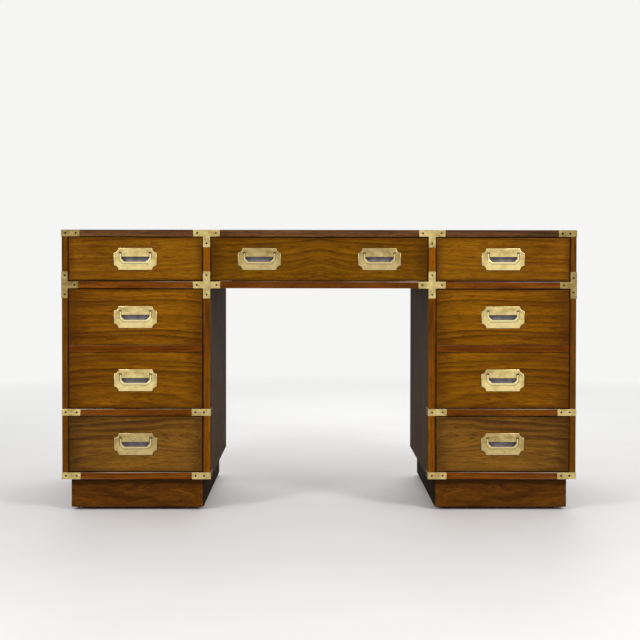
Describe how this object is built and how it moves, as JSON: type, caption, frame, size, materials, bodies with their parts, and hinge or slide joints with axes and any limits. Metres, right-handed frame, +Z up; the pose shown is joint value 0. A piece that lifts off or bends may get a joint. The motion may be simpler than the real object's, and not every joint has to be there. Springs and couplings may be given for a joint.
{
  "type": "campaign desk",
  "caption": "Kneehole writing desk with two drawer pedestals, brass-bound corners and recessed brass bail pulls.",
  "frame": {"origin": "on the floor under the middle of the desk", "axes": "+X to the right as seen by a person at the desk, +Y away from the drawers to the back, +Z up"},
  "size_m": [1.3744, 0.6134, 0.752],
  "materials": {
    "veneer": "satin lacquer",
    "case_wood": "satin lacquer",
    "edge_wood": "satin lacquer",
    "plinth_wood": "satin lacquer",
    "back_panel": "satin lacquer",
    "drawer_wood": "waxed",
    "brass": "aged satin",
    "dark_cup": "satin",
    "glide": "matte"
  },
  "bodies": {
    "frame": {"desk_top": "veneer", "top_lipping": "edge_wood", "left_outer_side": "case_wood", "left_inner_side": "case_wood", "right_inner_side": "case_wood", "right_outer_side": "case_wood", "pedestal_back_panels": "back_panel", "kneehole_back_rail": "case_wood", "pedestal_floors": "drawer_wood", "front_rails": "case_wood", "drawer_runners": "drawer_wood", "plinth_boards": "plinth_wood", "plinth_corner_blocks": "drawer_wood", "floor_glides": "glide", "top_corner_brackets": "brass", "top_tee_brackets": "brass", "side_tee_brackets": "brass", "cross_brackets": "brass", "corner_straps": "brass", "bracket_screws": "brass"},
    "left_top_drawer": {"left_top_drawer_front": "veneer", "left_top_drawer_box": "drawer_wood", "left_top_pull_plates": "brass", "left_top_pull_cups": "dark_cup"},
    "left_top_bail": {"left_top_bail": "brass"},
    "left_file_drawer": {"left_file_drawer_front": "veneer", "left_file_drawer_box": "drawer_wood", "left_file_pull_plates": "brass", "left_file_pull_cups": "dark_cup", "left_file_false_rail": "case_wood"},
    "left_file_upper_bail": {"left_file_upper_bail": "brass"},
    "left_file_lower_bail": {"left_file_lower_bail": "brass"},
    "left_bottom_drawer": {"left_bottom_drawer_front": "veneer", "left_bottom_drawer_box": "drawer_wood", "left_bottom_pull_plates": "brass", "left_bottom_pull_cups": "dark_cup"},
    "left_bottom_bail": {"left_bottom_bail": "brass"},
    "right_top_drawer": {"right_top_drawer_front": "veneer", "right_top_drawer_box": "drawer_wood", "right_top_pull_plates": "brass", "right_top_pull_cups": "dark_cup"},
    "right_top_bail": {"right_top_bail": "brass"},
    "right_file_drawer": {"right_file_drawer_front": "veneer", "right_file_drawer_box": "drawer_wood", "right_file_pull_plates": "brass", "right_file_pull_cups": "dark_cup", "right_file_false_rail": "case_wood"},
    "right_file_upper_bail": {"right_file_upper_bail": "brass"},
    "right_file_lower_bail": {"right_file_lower_bail": "brass"},
    "right_bottom_drawer": {"right_bottom_drawer_front": "veneer", "right_bottom_drawer_box": "drawer_wood", "right_bottom_pull_plates": "brass", "right_bottom_pull_cups": "dark_cup"},
    "right_bottom_bail": {"right_bottom_bail": "brass"},
    "centre_drawer": {"centre_drawer_front": "veneer", "centre_drawer_box": "drawer_wood", "centre_pull_plates": "brass", "centre_pull_cups": "dark_cup"},
    "centre_left_bail": {"centre_left_bail": "brass"},
    "centre_right_bail": {"centre_right_bail": "brass"}
  },
  "joints": [
    {"name": "left_top_drawer_slide", "type": "slide", "parent": "frame", "child": "left_top_drawer", "axis": [0, -1, 0], "range_m": [0, 0.4]},
    {"name": "left_top_bail_swing", "type": "hinge", "parent": "left_top_drawer", "child": "left_top_bail", "pos_m": [-0.49, -0.3034, 0.6873], "axis": [-1, 0, 0], "range_deg": [0, 90]},
    {"name": "left_file_drawer_slide", "type": "slide", "parent": "frame", "child": "left_file_drawer", "axis": [0, -1, 0], "range_m": [0, 0.4]},
    {"name": "left_file_upper_bail_swing", "type": "hinge", "parent": "left_file_drawer", "child": "left_file_upper_bail", "pos_m": [-0.49, -0.3034, 0.53255], "axis": [-1, 0, 0], "range_deg": [0, 90]},
    {"name": "left_file_lower_bail_swing", "type": "hinge", "parent": "left_file_drawer", "child": "left_file_lower_bail", "pos_m": [-0.49, -0.3034, 0.36405], "axis": [-1, 0, 0], "range_deg": [0, 90]},
    {"name": "left_bottom_drawer_slide", "type": "slide", "parent": "frame", "child": "left_bottom_drawer", "axis": [0, -1, 0], "range_m": [0, 0.4]},
    {"name": "left_bottom_bail_swing", "type": "hinge", "parent": "left_bottom_drawer", "child": "left_bottom_bail", "pos_m": [-0.49, -0.3034, 0.1933], "axis": [-1, 0, 0], "range_deg": [0, 90]},
    {"name": "right_top_drawer_slide", "type": "slide", "parent": "frame", "child": "right_top_drawer", "axis": [0, -1, 0], "range_m": [0, 0.4]},
    {"name": "right_top_bail_swing", "type": "hinge", "parent": "right_top_drawer", "child": "right_top_bail", "pos_m": [0.49, -0.3034, 0.6873], "axis": [-1, 0, 0], "range_deg": [0, 90]},
    {"name": "right_file_drawer_slide", "type": "slide", "parent": "frame", "child": "right_file_drawer", "axis": [0, -1, 0], "range_m": [0, 0.4]},
    {"name": "right_file_upper_bail_swing", "type": "hinge", "parent": "right_file_drawer", "child": "right_file_upper_bail", "pos_m": [0.49, -0.3034, 0.53255], "axis": [-1, 0, 0], "range_deg": [0, 90]},
    {"name": "right_file_lower_bail_swing", "type": "hinge", "parent": "right_file_drawer", "child": "right_file_lower_bail", "pos_m": [0.49, -0.3034, 0.36405], "axis": [-1, 0, 0], "range_deg": [0, 90]},
    {"name": "right_bottom_drawer_slide", "type": "slide", "parent": "frame", "child": "right_bottom_drawer", "axis": [0, -1, 0], "range_m": [0, 0.4]},
    {"name": "right_bottom_bail_swing", "type": "hinge", "parent": "right_bottom_drawer", "child": "right_bottom_bail", "pos_m": [0.49, -0.3034, 0.1933], "axis": [-1, 0, 0], "range_deg": [0, 90]},
    {"name": "centre_drawer_slide", "type": "slide", "parent": "frame", "child": "centre_drawer", "axis": [0, -1, 0], "range_m": [0, 0.35]},
    {"name": "centre_left_bail_swing", "type": "hinge", "parent": "centre_drawer", "child": "centre_left_bail", "pos_m": [-0.16, -0.3034, 0.6873], "axis": [-1, 0, 0], "range_deg": [0, 90]},
    {"name": "centre_right_bail_swing", "type": "hinge", "parent": "centre_drawer", "child": "centre_right_bail", "pos_m": [0.16, -0.3034, 0.6873], "axis": [-1, 0, 0], "range_deg": [0, 90]}
  ]
}
